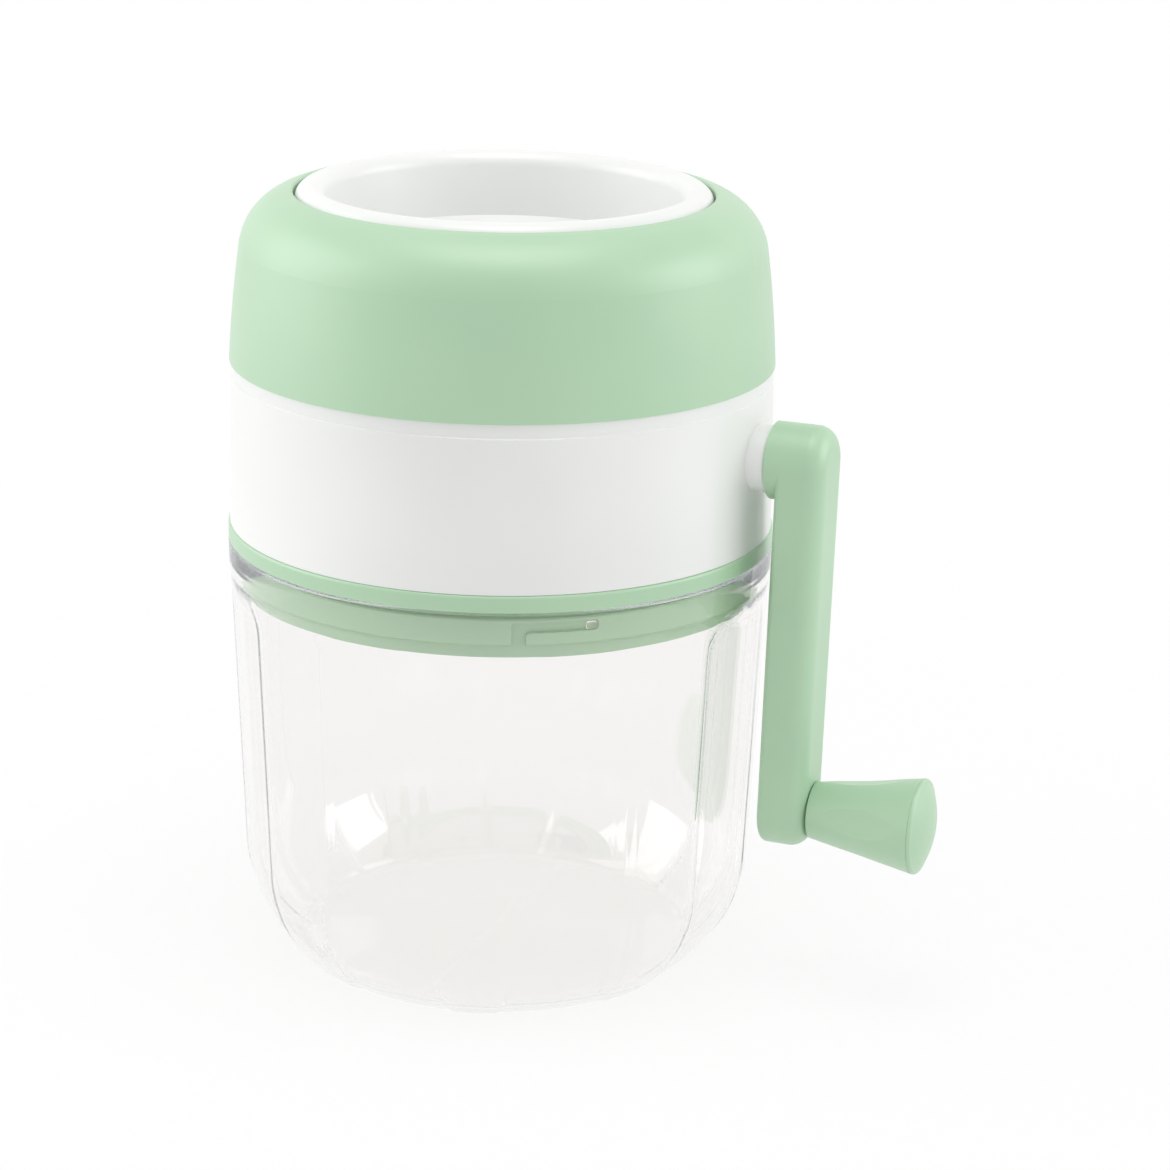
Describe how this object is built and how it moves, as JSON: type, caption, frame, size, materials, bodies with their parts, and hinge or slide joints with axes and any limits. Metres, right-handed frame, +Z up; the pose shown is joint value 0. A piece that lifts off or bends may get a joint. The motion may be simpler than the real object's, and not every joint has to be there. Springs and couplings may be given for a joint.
{
  "type": "hand crank meat grinder",
  "caption": "Table-top hand crank mincer: mint domed cover with a white hopper, white housing band, mint bayonet ring, clear fluted catch bowl and a side crank with a tapered knob.",
  "frame": {"origin": "middle of the bowl's flat underside, on the body's own axis, at table level", "axes": "+Z up along the body's axis, +X along the crank shaft towards the crank arm, +Y completes the right-handed set"},
  "size_m": [0.1793, 0.1328, 0.1926],
  "materials": {
    "mint_plastic": "satin moulded ABS, pale mint green",
    "white_plastic": "satin moulded ABS, white",
    "clear_plastic": "clear moulded styrene acrylonitrile, polished",
    "acetal": "natural acetal, as moulded",
    "steel": "bright drawn steel",
    "blade_steel": "ground stainless steel",
    "silicone": "matt translucent silicone"
  },
  "bodies": {
    "housing": {"housing_band": "white_plastic", "lock_ring": "mint_plastic", "deck_plate": "white_plastic", "housing_screws": "steel", "barrel": "white_plastic", "barrel_screws": "steel", "hole_plate": "blade_steel", "ring_nut": "white_plastic", "shaft_bush": "acetal", "shaft_seal": "silicone", "thrust_washer": "acetal"},
    "drive": {"drive_shaft": "steel", "shaft_clip": "steel", "feed_screw": "acetal", "cross_knife": "blade_steel", "crank_arm": "mint_plastic", "knob_axle": "steel"},
    "knob": {"grip_knob": "mint_plastic", "knob_cap": "mint_plastic"},
    "bowl": {"bowl": "clear_plastic"},
    "cover": {"top_cover": "mint_plastic", "hopper_gasket": "silicone"},
    "hopper": {"hopper": "white_plastic"}
  },
  "joints": [
    {"name": "crank_turn", "type": "hinge", "parent": "housing", "child": "drive", "pos_m": [0.07, 0, 0.13305], "axis": [1, 0, 0], "continuous": true},
    {"name": "knob_spin", "type": "hinge", "parent": "drive", "child": "knob", "pos_m": [0.095, 0, 0.04675], "axis": [1, 0, 0], "continuous": true},
    {"name": "bowl_twist", "type": "hinge", "parent": "housing", "child": "bowl", "pos_m": [0, 0, 0.104], "axis": [0, 0, 1], "range_deg": [-15, 0]},
    {"name": "cover_lift", "type": "slide", "parent": "housing", "child": "cover", "axis": [0, 0, 1], "range_m": [0, 0.06]},
    {"name": "hopper_lift", "type": "slide", "parent": "cover", "child": "hopper", "axis": [0, 0, 1], "range_m": [0, 0.06]}
  ]
}
